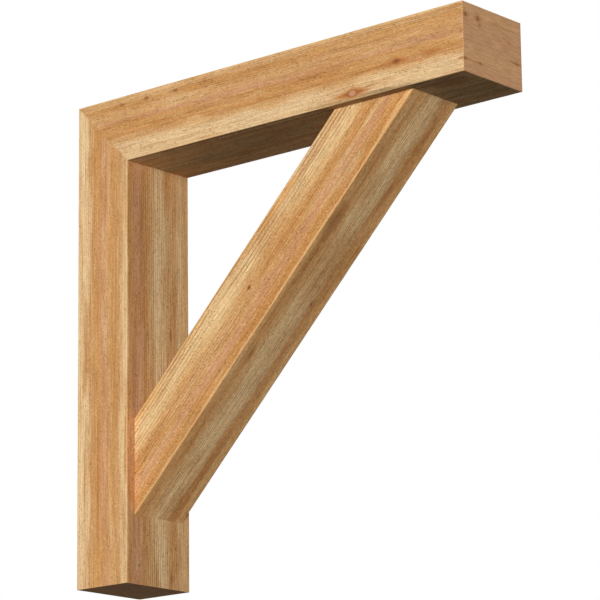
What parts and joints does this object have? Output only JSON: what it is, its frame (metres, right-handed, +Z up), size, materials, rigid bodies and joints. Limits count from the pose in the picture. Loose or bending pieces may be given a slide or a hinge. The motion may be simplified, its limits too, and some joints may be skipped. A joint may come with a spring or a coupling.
{
  "type": "offset brace bracket",
  "caption": "Timber bracket: an upright post and a level arm mitred together at the heel, propped by a narrower square diagonal brace set back from both side faces.",
  "frame": {"origin": "centre of the post's back face, the face that goes against the wall, half way up and half way across", "axes": "+X out from the wall along the arm, +Y across the bracket's width, +Z up; the arm's top face is the soffit face"},
  "size_m": [1.016, 0.1842, 1.016],
  "materials": {
    "post": "unfinished sawn softwood, lengthwise grain",
    "arm": "unfinished sawn softwood, lengthwise grain, knots",
    "brace": "unfinished sawn softwood, lengthwise grain",
    "screw_steel": "zinc plated, passivated"
  },
  "bodies": {
    "root": {"post": "post", "arm": "arm", "brace": "brace", "heel_screw_top_near": "screw_steel", "heel_screw_top_far": "screw_steel", "heel_screw_back_near": "screw_steel", "heel_screw_back_far": "screw_steel", "foot_screw_near": "screw_steel", "foot_screw_far": "screw_steel", "head_screw_near": "screw_steel", "head_screw_far": "screw_steel"}
  },
  "joints": []
}
